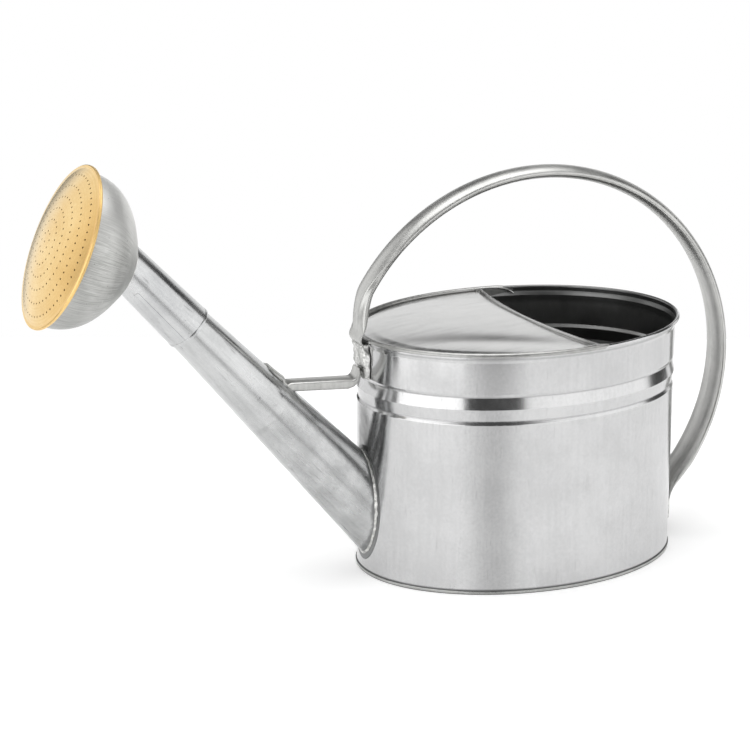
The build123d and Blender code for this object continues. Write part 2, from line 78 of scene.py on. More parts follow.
# ---------------------------------------------------------------- mesh helpers
def mesh_object(name, verts, faces, smooth=True):
    mesh = bpy.data.meshes.new(name)
    mesh.from_pydata([tuple(v) for v in verts], [], faces)
    mesh.validate()
    if smooth:
        mesh.polygons.foreach_set("use_smooth", [True] * len(mesh.polygons))
    return link(bpy.data.objects.new(name, mesh))


def tidy_mesh(obj, merge=1e-6):
    """Welds doubled points and turns every face outwards."""
    bm = bmesh.new()
    bm.from_mesh(obj.data)
    bmesh.ops.remove_doubles(bm, verts=bm.verts, dist=merge)
    bmesh.ops.dissolve_degenerate(bm, edges=bm.edges, dist=merge / 10)
    bmesh.ops.recalc_face_normals(bm, faces=bm.faces)
    bm.to_mesh(obj.data)
    bm.free()
    return obj


def skin(name, rings, closed_path=False):
    """A surface through closed rings of equal length, capped at its ends."""
    count = len(rings[0])
    verts = [p for ring in rings for p in ring]
    faces = []
    spans = len(rings) if closed_path else len(rings) - 1
    for i in range(spans):
        a, b = i * count, ((i + 1) % len(rings)) * count
        faces += [(a + j, a + (j + 1) % count, b + (j + 1) % count, b + j) for j in range(count)]
    if not closed_path:
        faces.append(tuple(range(count - 1, -1, -1)))
        faces.append(tuple(range(len(verts) - count, len(verts))))
    return tidy_mesh(mesh_object(name, verts, faces))


def split_creases(obj, degrees):
    """Keeps folds sharper than this angle crisp."""
    bm = bmesh.new()
    bm.from_mesh(obj.data)
    for edge in bm.edges:
        edge.smooth = not (edge.is_manifold and edge.calc_face_angle(0) > math.radians(degrees))
    bm.to_mesh(obj.data)
    bm.free()
    return obj


def lerp(a, b, t):
    return a + (b - a) * t


def smoothstep(t):
    t = min(max(t, 0.0), 1.0)
    return t * t * (3 - 2 * t)


def lumps(x, y, z):
    """Smooth unevenness, about -1 to 1, the same every time."""
    return noise.noise(Vector((x, y, z)))


def slab_faces(rows, columns):
    """Faces of a closed slab whose points are two grids, the outer one first."""
    width, layer = columns + 1, (rows + 1) * (columns + 1)
    faces = []
    for i in range(rows):
        for j in range(columns):
            k = i * width + j
            faces.append((k, k + 1, k + 1 + width, k + width))
            faces.append(tuple(v + layer for v in (k, k + width, k + 1 + width, k + 1)))
    border = list(range(width)) + [i * width + columns for i in range(1, rows + 1)]
    border += [rows * width + j for j in range(columns - 1, -1, -1)]
    border += [i * width for i in range(rows - 1, 0, -1)]
    for k, m in zip(border, border[1:] + border[:1]):
        faces.append((m, k, k + layer, m + layer))
    return faces


def only_for(obj, **seen_by):
    for ray in ("camera", "diffuse", "glossy", "transmission", "volume_scatter", "shadow"):
        setattr(obj, "visible_" + ray, seen_by.get(ray, False))


# ---------------------------------------------------------------- shader nodes
# a mix node's colour sockets come after its number and vector ones
MIX_FACTOR, MIX_A, MIX_B, MIX_COLOUR = 0, 6, 7, 2


class Nodes:
    """Short calls for the shader nodes of one material."""

    def __init__(self, name):
        self.mat = bpy.data.materials.new(name)
        self.mat.use_nodes = True
        self.tree = self.mat.node_tree
        self.shader = self.tree.nodes["Principled BSDF"]

    def add(self, kind, **values):
        node = self.tree.nodes.new("ShaderNode" + kind)
        for key, value in values.items():
            setattr(node, key, value)
        return node

    def wire(self, source, target):
        if isinstance(source, (int, float)):
            target.default_value = source
        elif isinstance(source, (tuple, list, Vector)):
            target.default_value = tuple(source)
        else:
            self.tree.links.new(source, target)

    def math(self, operation, *values, clamp=False):
        node = self.add("Math", operation=operation, use_clamp=clamp)
        for i, value in enumerate(values):
            self.wire(value, node.inputs[i])
        return node.outputs[0]

    def vector(self, operation, *values):
        node = self.add("VectorMath", operation=operation)
        for i, value in enumerate(values):
            self.wire(value, node.inputs[i])
        return node.outputs["Value" if operation in ("DOT_PRODUCT", "LENGTH") else "Vector"]

    def place(self):
        return self.add("TexCoord").outputs["Object"]

    def axes(self, where=None):
        """The three numbers of a vector, or of the place on the object."""
        split = self.add("SeparateXYZ")
        self.wire(self.place() if where is None else where, split.inputs[0])
        return split.outputs

    def combine(self, *parts):
        node = self.add("CombineXYZ")
        for i, part in enumerate(parts):
            self.wire(part, node.inputs[i])
        return node.outputs[0]

    def noise(self, where, scale, detail=3.0, rough=0.55):
        node = self.add("TexNoise")
        self.wire(where, node.inputs["Vector"])
        node.inputs["Scale"].default_value = scale
        node.inputs["Detail"].default_value = detail
        node.inputs["Roughness"].default_value = rough
        return node.outputs["Fac"]

    def ramp(self, value, low, high, to_low=0.0, to_high=1.0):
        """Eases from one value to another between two limits, and stays there outside them."""
        node = self.add("MapRange", interpolation_type="SMOOTHSTEP")
        for i, v in enumerate((value, low, high, to_low, to_high)):
            self.wire(v, node.inputs[i])
        return node.outputs[0]

    def blend(self, fac, a, b):
        """Mixes two colours, each a triple or a socket."""
        node = self.add("Mix", data_type="RGBA")
        self.wire(fac, node.inputs[MIX_FACTOR])
        for value, socket in ((a, node.inputs[MIX_A]), (b, node.inputs[MIX_B])):
            self.wire((*value, 1) if isinstance(value, tuple) else value, socket)
        return node.outputs[MIX_COLOUR]

    def bump(self, height, distance, normal=None):
        node = self.add("Bump")
        node.inputs["Strength"].default_value = 1.0
        node.inputs["Distance"].default_value = distance
        self.wire(height, node.inputs["Height"])
        if normal is not None:
            self.wire(normal, node.inputs["Normal"])
        return node.outputs[0]

    def turned(self, centre, axis, across, along):
        """Coordinates stretched along an axis, for marks that run that way."""
        z = Vector(axis).normalized()
        x = z.cross(Vector((0, 1, 0)))
        x = (x if x.length > 0.1 else Vector((1, 0, 0))).normalized()
        y = z.cross(x)
        moved = self.vector("SUBTRACT", self.place(), tuple(centre))
        parts = [self.vector("DOT_PRODUCT", moved, tuple(v)) for v in (x, y, z)]
        return self.combine(*(self.math("MULTIPLY", part, scale)
                              for part, scale in zip(parts, (across, across, along))))

    def hooped(self, across, along):
        """Coordinates stretched round the handle's hoop."""
        x, y, z = self.axes(self.vector("SUBTRACT", self.place(), tuple(HOOP_CENTRE)))
        turn = self.math("ARCTAN2", z, x)
        radius = self.vector("LENGTH", self.combine(x, 0.0, z))
        return self.combine(self.math("MULTIPLY", radius, across), self.math("MULTIPLY", y, across),
                            self.math("MULTIPLY", turn, along * HOOP_MEAN))

    def about(self, centre, axis):
        """The place across and along an axis, and its distance from it."""
        z = Vector(axis).normalized()
        x = z.cross(Vector((0, 1, 0))).normalized()
        y = z.cross(x)
        moved = self.vector("SUBTRACT", self.place(), tuple(centre))
        px, py, pz = (self.vector("DOT_PRODUCT", moved, tuple(v)) for v in (x, y, z))
        square = self.math("ADD", self.math("MULTIPLY", px, px), self.math("MULTIPLY", py, py))
        return px, py, pz, self.math("SQRT", square)

    def meridian(self, centre, axis, across, along):
        """Coordinates for marks that run from the rim of a turned bowl to its bottom, and the depth."""
        px, py, pz, radius = self.about(centre, axis)
        safe = self.math("MAXIMUM", radius, 0.004)
        where = self.combine(self.math("MULTIPLY", self.math("DIVIDE", px, safe), across),
                             self.math("MULTIPLY", self.math("DIVIDE", py, safe), across),
                             self.math("MULTIPLY", pz, along))
        return where, pz

    def finish(self, colour, roughness, normal):
        self.shader.inputs["Metallic"].default_value = 1.0
        for value, name in ((colour, "Base Color"), (roughness, "Roughness"), (normal, "Normal")):
            self.wire(value, self.shader.inputs[name])
        return self.mat


# ---------------------------------------------------------------- stage and light
FLOOR_ALBEDO, FLOOR_GLOW = 0.86, 0.34       # the lit table comes out just white, its shadow stays
TABLE_LEFT, TABLE_RIGHT, TABLE_NEAR, TABLE_FAR = -0.70, 1.02, -0.78, 0.66
GROUND_REACH, GROUND_Z, BACKDROP_R = 20, -0.001, 26.0
WHITE = (1, 1, 1)
WORLD_LIGHT = 0.08
# name, azimuth, distance, lower and upper edge, width, radiance
PANELS = [
    ("key_left", 208.5, 1.5, -0.7, 1.3, 1.55, 1.78),
    ("key_right", 310, 1.5, -0.7, 1.3, 2.48, 1.28),
    ("behind", 52, 1.6, -0.5, 0.86, 2.3, 1.00),
    ("behind_left", 135, 1.6, -0.5, 1.6, 1.75, 1.02),
]
TOP_AT, TOP_SIZE, TOP_RADIANCE = (0.0, 0.0, 1.7), (1.8, 1.6), 2.5
CARD_AT, CARD_TURN = (-0.0596, -0.0918), 255.0     # the dim card's narrow end, and the way it runs
CARD_NEAR, CARD_SPREAD, CARD_LONG, CARD_Z = 0.036, 0.34, 0.75, 0.0006
CARD_DIM, CARD_FULL = 0.81, 1.16


def emission(name, colour, strength):
    mat = bpy.data.materials.new(name)
    mat.use_nodes = True
    nodes = mat.node_tree.nodes
    nodes.clear()
    out = nodes.new("ShaderNodeOutputMaterial")
    glow = nodes.new("ShaderNodeEmission")
    glow.inputs["Color"].default_value = (*colour, 1)
    glow.inputs["Strength"].default_value = strength
    mat.node_tree.links.new(glow.outputs[0], out.inputs[0])
    return mat


def floor_material():
    mat = bpy.data.materials.new("pale_floor")
    mat.use_nodes = True
    shader = mat.node_tree.nodes["Principled BSDF"]
    shader.inputs["Base Color"].default_value = (*[FLOOR_ALBEDO] * 3, 1)
    shader.inputs["Roughness"].default_value = 0.9
    shader.inputs["Specular IOR Level"].default_value = 0.0
    shader.inputs["Emission Color"].default_value = (*WHITE, 1)
    shader.inputs["Emission Strength"].default_value = FLOOR_GLOW
    return mat


def flat_stage(name, corners, z, mat):
    verts = [(x, y, z) for x, y in corners]
    obj = mesh_object(name, verts, [tuple(range(len(corners)))], smooth=False)
    obj.data.materials.append(mat)
    return obj


def soft_light(name, at, facing, size, radiance):
    light = bpy.data.lights.new(name, "AREA")
    light.shape = "RECTANGLE"
    light.size, light.size_y = size
    light.energy = radiance * math.pi * size[0] * size[1]
    obj = link(bpy.data.objects.new(name, light))
    obj.location = at
    obj.rotation_euler = (-Vector(facing)).to_track_quat("Z", "Y").to_euler()
    obj.visible_camera = False


def panel(name, azimuth, distance, low, high, width, radiance):
    """An upright soft light facing the object, at an azimuth in degrees from +X."""
    a = math.radians(azimuth)
    away = Vector((math.cos(a), math.sin(a), 0))
    at = away * distance + Vector((0, 0, (low + high) / 2))
    soft_light(name, at, -away, (width, high - low), radiance)


def dim_card():
    """Lies on the table before the body, seen only in its sheen: a dim strip between the two keys."""
    n = Nodes("dim_card")
    n.tree.nodes.remove(n.shader)
    ahead, aside, _ = n.axes()
    half = n.math("ADD", n.math("MULTIPLY", ahead, CARD_SPREAD), CARD_NEAR)
    share = n.math("DIVIDE", n.math("ABSOLUTE", aside), half)
    glow = n.add("Emission")
    n.wire(n.ramp(share, 0.05, 0.95, CARD_DIM, CARD_FULL), glow.inputs["Strength"])
    n.wire(glow.outputs[0], n.tree.nodes["Material Output"].inputs[0])
    wide = CARD_NEAR + CARD_SPREAD * CARD_LONG
    corners = ((0, -CARD_NEAR), (CARD_LONG, -wide), (CARD_LONG, wide), (0, CARD_NEAR))
    card = flat_stage("dim_card", corners, 0, n.mat)
    card.location = (*CARD_AT, CARD_Z)
    card.rotation_euler = (0, 0, math.radians(CARD_TURN))
    only_for(card, glossy=True)


def studio():
    view = Vector((-CAMERA_BACK[0], -CAMERA_BACK[1], 0)).normalized()
    side = Vector((view.y, -view.x, 0))
    table = [side * right + view * ahead for right, ahead in (
        (TABLE_LEFT, TABLE_NEAR), (TABLE_RIGHT, TABLE_NEAR),
        (TABLE_RIGHT, TABLE_FAR), (TABLE_LEFT, TABLE_FAR))]
    flat_stage("table", [(p.x, p.y) for p in table], 0.0, floor_material())
    reach = GROUND_REACH
    ground = flat_stage("ground", [(-reach, -reach), (reach, -reach), (reach, reach), (-reach, reach)],
                        GROUND_Z, emission("pale_ground", WHITE, 1.0))
    only_for(ground, camera=True)
    bm = bmesh.new()
    bmesh.ops.create_icosphere(bm, subdivisions=3, radius=BACKDROP_R)
    mesh = bpy.data.meshes.new("backdrop")
    bm.to_mesh(mesh)
    bm.free()
    backdrop = link(bpy.data.objects.new("backdrop", mesh))
    mesh.materials.append(emission("pale_backdrop", WHITE, 1.0))
    only_for(backdrop, camera=True)
    dim_card()

    world = bpy.data.worlds.new("studio")
    bpy.context.scene.world = world
    world.use_nodes = True
    background = world.node_tree.nodes["Background"]
    background.inputs["Color"].default_value = (*WHITE, 1)
    background.inputs["Strength"].default_value = WORLD_LIGHT
    for row in PANELS:
        panel(*row)
    soft_light("top", TOP_AT, (0, 0, -1), TOP_SIZE, TOP_RADIANCE)


studio()

# ---------------------------------------------------------------- materials
SPOUT_ANGLE = math.radians(47.69)
SPOUT_ROOT = Vector((-140, 0, 63.8)) * MM
SPOUT_DIR = Vector((-math.cos(SPOUT_ANGLE), 0, math.sin(SPOUT_ANGLE)))
SPOUT_UP = Vector((math.sin(SPOUT_ANGLE), 0, math.cos(SPOUT_ANGLE)))
FACE_TILT = math.radians(24.0)
FACE_CENTRE = Vector((-391.4, 0, 303.8)) * MM
FACE_DIR = Vector((-math.cos(FACE_TILT), 0, math.sin(FACE_TILT)))
FACE_UP = Vector((math.sin(FACE_TILT), 0, math.cos(FACE_TILT)))
HOOP_X, HOOP_Z, HOOP_A, HOOP_B = 16.1, 158.0, 177.2, 172.5      # the handle's oval, mm
HOOP_CENTRE = Vector((HOOP_X, 0, HOOP_Z)) * MM
HOOP_MEAN = 0.175
BODY_A, BODY_B = 0.140, 0.1014              # half the body's length and width
WAVE = 0.00012                              # height of the sheet's faint waves


def sheet_metal(name, dark, light, rough, marks, mottle=1.0, scuffs=0.35, grain=1.0, streaks=0.35,
                inner=None, stain_and_shade=None):
    """Galvanised sheet: soft mottles, fine rolling streaks, faint waves and a few scuffs.

    marks gives the coordinates of the streaks, stain_and_shade the share of real stains and painted shade
    at each place, and inner is the darker colour painted on the can's inside as painted shade.
    """
    n = Nodes(name)
    at = n.place()
    lines = marks(n)
    cloud = n.noise(at, 26.0, 4.0, 0.6)
    fine = n.noise(at, 420.0, 3.0, 0.6)
    streak = n.noise(lines, 1.0, 3.0, 0.6)
    mix = n.math("ADD", n.math("MULTIPLY", cloud, 0.50 * mottle),
                 n.math("ADD", n.math("MULTIPLY", streak, streaks),
                        n.math("MULTIPLY", fine, 0.50 - streaks)))
    shade = n.ramp(mix, 0.34, 0.66)
    colour = n.blend(shade, dark, light)
    scuff_zone = n.ramp(n.noise(at, 34.0, 2.0), 0.50, 0.68)
    scuff = n.math("MULTIPLY", n.ramp(n.noise(lines, 1.7, 3.0, 0.6), 0.58, 0.72), scuff_zone)
    specks = n.ramp(n.noise(at, 900.0, 1.0, 0.4), 0.735, 0.80)
    marks_all = n.math("MULTIPLY", n.math("MAXIMUM", scuff, specks), scuffs, clamp=True)
    colour = n.blend(marks_all, colour, tuple(c * 0.42 for c in dark))
    roughness = n.math("ADD", n.ramp(streak, 0.3, 0.7, rough - 0.035 * grain, rough + 0.04 * grain),
                       n.math("ADD", n.ramp(cloud, 0.35, 0.65, -0.02, 0.03),
                              n.math("MULTIPLY", marks_all, 0.22)))
    if stain_and_shade is not None:
        # darkens the colour for real stains and for painted shade alike
        stain_and_shade_amount = stain_and_shade(n)
        colour = n.blend(stain_and_shade_amount, colour, tuple(c * 0.30 for c in dark))
        roughness = n.math("ADD", roughness, n.math("MULTIPLY", stain_and_shade_amount, 0.25))
    if inner is not None:
        # painted shade: the inside of the same sheet takes the darker inner colour
        outwards = n.vector("MULTIPLY", at, (1 / BODY_A ** 2, 1 / BODY_B ** 2, 0))
        side = n.vector("DOT_PRODUCT", n.add("NewGeometry").outputs["True Normal"], outwards)
        inside = n.ramp(side, -0.35, -0.65)
        colour = n.blend(inside, colour, inner)
        # painted shade: the band of inner wall just under the rim is darker still
        under_rim_shade = n.math("MULTIPLY", n.ramp(n.axes(at)[2], 0.1900, 0.1950),
                       n.ramp(side, -0.05, -0.5, 0.0, 0.80))
        colour = n.blend(under_rim_shade, colour, tuple(c * 0.38 for c in inner))
        roughness = n.math("ADD", roughness, n.math("MULTIPLY", inside, 0.16))
    normal = n.bump(n.noise(at, 11.0, 1.5, 0.5), WAVE)
    normal = n.bump(streak, 0.000007 * grain, normal)
    return n.finish(colour, n.math("MINIMUM", roughness, 0.8), normal)


def bowl_metal():
    """Dull zinc, brushed towards the neck, with a band of crossing scratches and a plain shoulder."""
    n = Nodes("brushed_bowl_look")
    lines, depth = n.meridian(FACE_CENTRE, FACE_DIR, 120.0, 55.0)
    rings, _ = n.meridian(FACE_CENTRE, FACE_DIR, 16.0, 900.0)
    strokes = n.noise(lines, 0.75, 4.0, 0.7)
    cloud = n.noise(n.place(), 34.0, 4.0, 0.6)
    wander = n.math("MULTIPLY", n.math("SUBTRACT", cloud, 0.5), 0.016)
    shoulder = n.ramp(n.math("ADD", depth, wander), -0.036, -0.041)
    scratched = n.ramp(n.math("ADD", depth, n.math("MULTIPLY", wander, 2.0)), -0.020, -0.026)
    scratched = n.math("MULTIPLY", scratched, n.math("SUBTRACT", 1.0, shoulder))
    crossing = n.math("MULTIPLY", n.noise(rings, 1.0, 3.0, 0.7), scratched)
    brushed = n.math("SUBTRACT", 1.0, n.math("MULTIPLY", shoulder, 0.75))
    grain = n.math("MULTIPLY", n.math("SUBTRACT", strokes, 0.5), brushed)
    mix = n.math("ADD", 0.5, n.math("ADD", n.math("MULTIPLY", grain, 0.8),
                                    n.math("MULTIPLY", n.math("SUBTRACT", cloud, 0.5), 0.35)))
    colour = n.blend(n.ramp(mix, 0.34, 0.66), (0.36, 0.362, 0.348), (0.62, 0.622, 0.604))
    # painted light: a painted highlight on the upper side, painted shade on the lower side
    above = n.vector("DOT_PRODUCT", n.vector("SUBTRACT", n.place(), tuple(FACE_CENTRE)), tuple(FACE_UP))
    colour = n.blend(n.ramp(above, 0.010, 0.052, 0.0, 0.75), colour, (0.86, 0.86, 0.84))
    colour = n.blend(n.ramp(above, 0.0, -0.045, 0.0, 0.35), colour, (0.26, 0.262, 0.256))
    bright = n.ramp(n.noise(rings, 1.0, 3.0, 0.7), 0.56, 0.70)
    scratches = n.math("MULTIPLY", n.math("MULTIPLY", bright, scratched), 0.45)
    colour = n.blend(scratches, colour, (0.66, 0.66, 0.64))
    pits = n.ramp(n.noise(n.place(), 520.0, 1.0), 0.74, 0.80)
    colour = n.blend(n.math("MULTIPLY", pits, 0.5), colour, (0.12, 0.12, 0.12))
    roughness = n.math("ADD", n.ramp(mix, 0.35, 0.65, 0.50, 0.43), n.math("MULTIPLY", shoulder, 0.04))
    normal = n.bump(grain, 0.00008)
    normal = n.bump(crossing, 0.00006, normal)
    return n.finish(colour, roughness, normal)


def brass():
    """Spun brass, paler towards the far side as a painted highlight and more orange towards the near one as
    painted shade.
    """
    n = Nodes("brass_look")
    radius = n.about(FACE_CENTRE, FACE_DIR)[3]
    turned = n.noise(n.combine(n.math("MULTIPLY", radius, 900.0)), 1.0, 3.0, 0.6)
    cloud = n.noise(n.place(), 24.0, 4.0, 0.6)
    fine = n.noise(n.place(), 600.0, 2.0, 0.6)
    mix = n.math("ADD", n.math("MULTIPLY", turned, 0.35),
                 n.math("ADD", n.math("MULTIPLY", cloud, 0.45), n.math("MULTIPLY", fine, 0.20)))
    colour = n.blend(n.ramp(mix, 0.36, 0.64), (0.80, 0.56, 0.24), (0.93, 0.71, 0.36))
    side = n.axes()[1]
    # painted highlight towards the far side, painted shade towards the near side
    colour = n.blend(n.ramp(side, -0.01, 0.050, 0.0, 0.85), colour, (0.77, 0.67, 0.48))
    colour = n.blend(n.ramp(side, -0.015, -0.060, 0.0, 0.65), colour, (0.80, 0.50, 0.17))
    edge = n.ramp(radius, 0.0630, 0.0665)
    colour = n.blend(n.math("MULTIPLY", edge, 0.55), colour, (0.88, 0.62, 0.26))
    roughness = n.math("ADD", n.ramp(mix, 0.35, 0.65, 0.36, 0.27), n.math("MULTIPLY", edge, 0.12))
    normal = n.bump(turned, 0.000008)
    normal = n.bump(n.noise(n.place(), 30.0, 2.0), 0.00012, normal)
    return n.finish(colour, roughness, normal)


def solder_look():
    n = Nodes("solder_look")
    cloud = n.noise(n.place(), 240.0, 4.0, 0.65)
    stain = n.ramp(n.noise(n.place(), 95.0, 3.0), 0.52, 0.70)
    colour = n.blend(n.ramp(cloud, 0.35, 0.65), (0.46, 0.46, 0.45), (0.70, 0.70, 0.68))
    colour = n.blend(n.math("MULTIPLY", stain, 0.6), colour, (0.22, 0.22, 0.21))
    return n.finish(colour, n.ramp(cloud, 0.3, 0.7, 0.40, 0.24), n.bump(cloud, 0.00022))


# height, half width and strength of the wall's painted shade lines: two grooves, the base seam, the rim
WALL_LINES = ((0.1690, 0.0012, 0.30), (0.1486, 0.0012, 0.38),
              (0.0036, 0.0016, 0.85), (0.2012, 0.0016, 0.35))
# painted shade under the seam's foot and in the gap at its top
SEAM_SHADE = ((0.0013, 0.0005, 0.75), (0.0027, 0.0031, 0.85))   # from, to and strength, foot and top
TONE_FROM, TONE_TO = 0.1235, 0.1215         # below here along the spout its sheet is duller


def wall_shade_and_stain(n):
    """Painted shade in the wall's grooves, under the rim and just above the base seam, and a heat stain
    over the spout's joint.
    """
    x, y, z = n.axes()
    total = 0.0
    for height, reach, amount in WALL_LINES:
        off = n.math("ABSOLUTE", n.math("SUBTRACT", z, height))
        total = n.math("MAXIMUM", total, n.math("MULTIPLY", n.ramp(off, reach, 0.0), amount))
    # a heat stain over the spout's joint
    stain = n.math("MULTIPLY", n.ramp(n.math("ABSOLUTE", y), 0.019, 0.006), n.ramp(x, -0.12, -0.134))
    stain = n.math("MULTIPLY", stain, n.math("MULTIPLY", n.ramp(z, 0.160, 0.135), n.ramp(z, 0.02, 0.09)))
    cloud = n.noise(n.place(), 60.0, 3.0)
    stain = n.math("MULTIPLY", stain, n.ramp(cloud, 0.3, 0.7, 0.45, 0.85))
    return n.math("MAXIMUM", total, stain)


def seam_shade(n):
    """Painted shade along the foot and the top of the base seam."""
    z = n.axes()[2]
    return n.math("MAXIMUM", *(n.math("MULTIPLY", n.ramp(z, start, end), amount)
                               for start, end, amount in SEAM_SHADE))


def joint_soot(n):
    """Flux stains where the spout meets the wall, and the blotched sheet of the spout's lower part."""
    x, y, _ = n.axes()
    x, y = n.math("DIVIDE", x, BODY_A), n.math("DIVIDE", y, BODY_B)
    oval = n.math("SQRT", n.math("ADD", n.math("MULTIPLY", x, x), n.math("MULTIPLY", y, y)))
    patchy = n.noise(n.place(), 70.0, 3.0)
    reach = n.ramp(patchy, 0.3, 0.7, 1.016, 1.040)
    soot = n.math("MULTIPLY", n.ramp(n.math("SUBTRACT", oval, reach), 0.012, -0.012), 0.72)
    along = n.vector("DOT_PRODUCT", n.vector("SUBTRACT", n.place(), tuple(SPOUT_ROOT)), tuple(SPOUT_DIR))
    blotch = n.ramp(n.noise(n.place(), 48.0, 4.0, 0.65), 0.35, 0.65, 0.04, 0.24)
    return n.math("MAXIMUM", soot, n.math("MULTIPLY", blotch, n.ramp(along, TONE_FROM, TONE_TO)))


LOOKS = {
    "galvanised_body": sheet_metal(
        "body_look", (0.520, 0.521, 0.523), (0.606, 0.606, 0.608), 0.155,
        # inner paints shade on the inside of the body
        lambda n: n.turned((0, 0, 0), (0, 0, 1), 330.0, 22.0), inner=(0.37, 0.374, 0.37),
        stain_and_shade=wall_shade_and_stain, scuffs=0.22, grain=0.35, streaks=0.22),
    "galvanised_base": sheet_metal(
        "base_look", (0.34, 0.343, 0.336), (0.50, 0.504, 0.49), 0.30,
        lambda n: n.turned((0, 0, 0), (0, 0, 1), 120.0, 300.0), stain_and_shade=seam_shade),
    "galvanised_cover": sheet_metal(
        "cover_look", (0.50, 0.50, 0.494), (0.61, 0.61, 0.604), 0.19,
        lambda n: n.turned((0, 0, 0), (1, 0.3, 0), 200.0, 20.0), mottle=1.2, scuffs=0.12),
    "galvanised_spout": sheet_metal(
        "spout_look", (0.45, 0.455, 0.455), (0.59, 0.595, 0.595), 0.21,
        lambda n: n.turned(SPOUT_ROOT, SPOUT_DIR, 300.0, 26.0), scuffs=0.7, stain_and_shade=joint_soot),
    "galvanised_handle": sheet_metal(
        "handle_look", (0.40, 0.402, 0.39), (0.58, 0.58, 0.565), 0.40,
        lambda n: n.hooped(260.0, 20.0), mottle=1.2, scuffs=0.22, grain=0.0),
    "galvanised_rose": sheet_metal(
        "rose_look", (0.44, 0.445, 0.45), (0.61, 0.615, 0.615), 0.21,
        lambda n: n.turned(SPOUT_ROOT, SPOUT_DIR, 300.0, 30.0), scuffs=0.9),
    "brushed_bowl": bowl_metal(),
    "steel_wire": sheet_metal(
        "wire_look", (0.34, 0.34, 0.33), (0.50, 0.50, 0.49), 0.38,
        lambda n: n.turned((0, 0, 0), (0, 0, 1), 200.0, 200.0)),
    "solder": solder_look(),
    "brass_face": brass(),
}
SLOT_OF = {row["node"]: row["material_slot"] for row in frame["record"]["subparts"]}
for node, slot in SLOT_OF.items():
    NODES[node].material_slots[0].material = LOOKS[slot]


def dress(obj, body, slot, *replaced):
    """Hands a finished piece to the frame: its body, its material and the CAD nodes it stands for."""
    obj.data.materials.clear()
    obj.data.materials.append(LOOKS[slot])
    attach(obj, body)
    if replaced:
        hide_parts(*replaced)
    return obj


# ---------------------------------------------------------------- oval of the body
SHEET = 0.0006
RIM_OUT, RIM_Z = 0.00205, 0.2049
COVER_Z = 0.2038


def on_oval(turn, out, z):
    """A point this far outside the wall's outline."""
    x, y = BODY_A * math.cos(turn), BODY_B * math.sin(turn)
    normal = Vector((x / BODY_A ** 2, y / BODY_B ** 2, 0)).normalized()
    return Vector((x, y, z)) + normal * out


def sweep_oval(name, profile, turns, closed):
    rings = [[on_oval(turn, out, z) for out, z in profile] for turn in turns]
    return skin(name, rings, closed_path=closed)


def full_turn(steps):
    return [2 * math.pi * i / steps for i in range(steps)]


# ---------------------------------------------------------------- base pan with its rolled seam
def base_pan():
    """The rolled seam round the foot, and the sagging plate inside it."""
    profile = [(x * MM, z * MM) for x, z in (
        (0.06, 0.9), (0.06, 2.9), (0.20, 3.15), (0.48, 3.2), (0.70, 2.95), (0.80, 2.4), (0.80, 1.3),
        (0.72, 0.6), (0.50, 0.15), (0.20, 0.0), (-0.7, 0.0), (-1.1, 0.12), (-1.25, 0.5), (-1.25, 5.2),
        (-1.6, 5.8), (-2.2, 6.0), (-2.2, 6.6), (-1.3, 6.45), (-0.70, 5.9), (-0.70, 0.75), (-0.62, 0.65))]
    ring = sweep_oval("base_seam", profile, full_turn(360), True)
    dress(ring, "can", "galvanised_base", "base_sheet")
    rows, verts, faces = 10, [], []
    turns = full_turn(180)
    for z in (6.0 * MM, 6.55 * MM):
        start = len(verts)
        for i in range(rows):
            share = 1 - i / rows
            sag = 0.0005 * (1 - share ** 2) * (0.5 + lumps(share * 3, 0, 7))
            a, b = share * (BODY_A - 0.0019), share * (BODY_B - 0.0019)
            verts += [(a * math.cos(t), b * math.sin(t), z + sag) for t in turns]
        verts.append((0, 0, z + 0.0004))
        count = len(turns)
        for i in range(rows - 1):
            a, b = start + i * count, start + (i + 1) * count
            faces += [(a + j, a + (j + 1) % count, b + (j + 1) % count, b + j) for j in range(count)]
        last = start + (rows - 1) * count
        faces += [(last + j, last + (j + 1) % count, len(verts) - 1) for j in range(count)]
    layer = len(verts) // 2
    faces += [(j, (j + 1) % len(turns), layer + (j + 1) % len(turns), layer + j) for j in range(len(turns))]
    plate = tidy_mesh(mesh_object("base_plate", verts, faces))
    dress(plate, "can", "galvanised_base")


# ---------------------------------------------------------------- half cover
EDGE_R, EDGE_SIDE = 0.450, 0.038          # the free edge's radius, and its centre's offset to the far side
EDGE_CENTRE = 0.0073 + EDGE_R
HORN_X = 0.034
TAB_X = 0.041               # a tongue at each corner runs on along the inside of the wall to this x
TAB_LOW = 0.1975
FAR_END, NEAR_END = 0.0975, -0.0965       # how far across the free edge runs
HOOK_STEPS = 6
# x, inset from the wall, height, and how tall the hook's bar is in mm
HOOK_PATH = ((0.0115, 0.0012, 0.2064, 1.3), (0.0200, 0.0015, 0.2065, 1.4), (0.0280, 0.0021, 0.2059, 1.5),
             (0.0335, 0.0028, 0.2048, 1.8), (0.0372, 0.0034, 0.2034, 2.2), (0.0396, 0.0039, 0.2019, 2.0),
             (0.0410, 0.0042, 0.2005, 0.8))
GRIP_IN, GRIP_OUT = 0.00165, 0.00225
STRAP_GAP = 0.0165          # the grip is cut away this far either side of the strap's middle
GUTTER = 0.0004             # the sheet dips this far beside the rim


def edge_x(y):
    return EDGE_CENTRE - math.sqrt(EDGE_R ** 2 - (y - EDGE_SIDE) ** 2)


